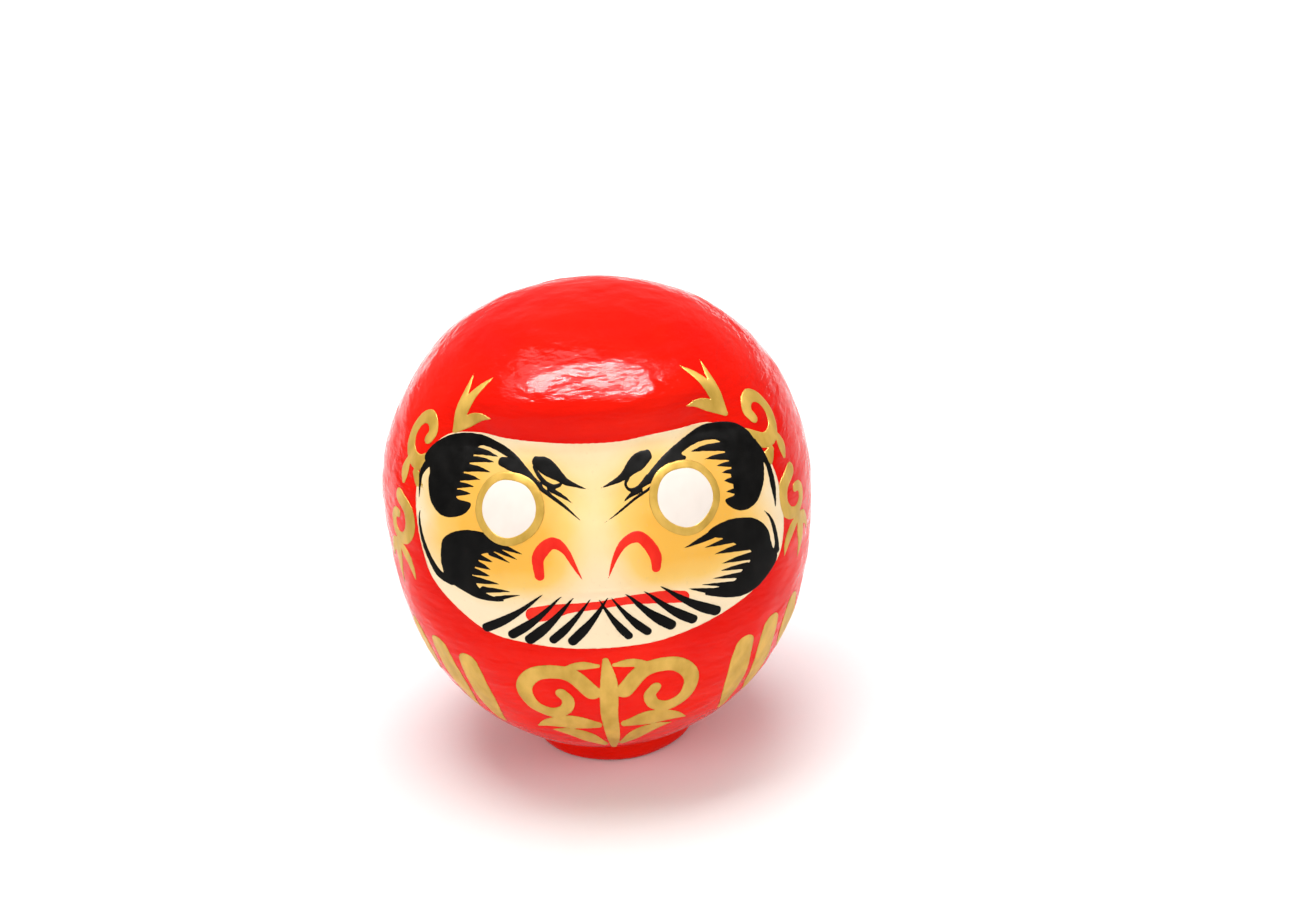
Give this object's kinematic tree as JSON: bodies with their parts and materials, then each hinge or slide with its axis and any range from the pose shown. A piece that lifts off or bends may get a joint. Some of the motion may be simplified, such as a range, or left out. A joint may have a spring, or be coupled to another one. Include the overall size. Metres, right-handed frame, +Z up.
{
  "type": "daruma doll",
  "caption": "Round red hollow paper doll with a painted face and a weighted foot that keeps it upright on a shelf.",
  "frame": {"origin": "middle of the foot, on the surface the doll stands on", "axes": "+Z up; the face looks along -Y; +X is towards the doll's left hand, to the right of a person who looks at its face"},
  "size_m": [0.1348, 0.1288, 0.1496],
  "materials": {
    "paper_pulp": "rough pressed pulp",
    "pasted_paper": "matte handmade paper",
    "fired_clay": "unglazed",
    "red_lacquer": "glossy brushed lacquer paint",
    "face_paint": "satin paint with airbrushed shading"
  },
  "bodies": {
    "root": {"front_shell": "paper_pulp", "back_shell": "paper_pulp", "joint_strip": "pasted_paper", "base_weight": "fired_clay", "weight_collar": "pasted_paper", "base_paper": "pasted_paper", "red_coat": "red_lacquer", "face_coat": "face_paint"}
  },
  "joints": []
}
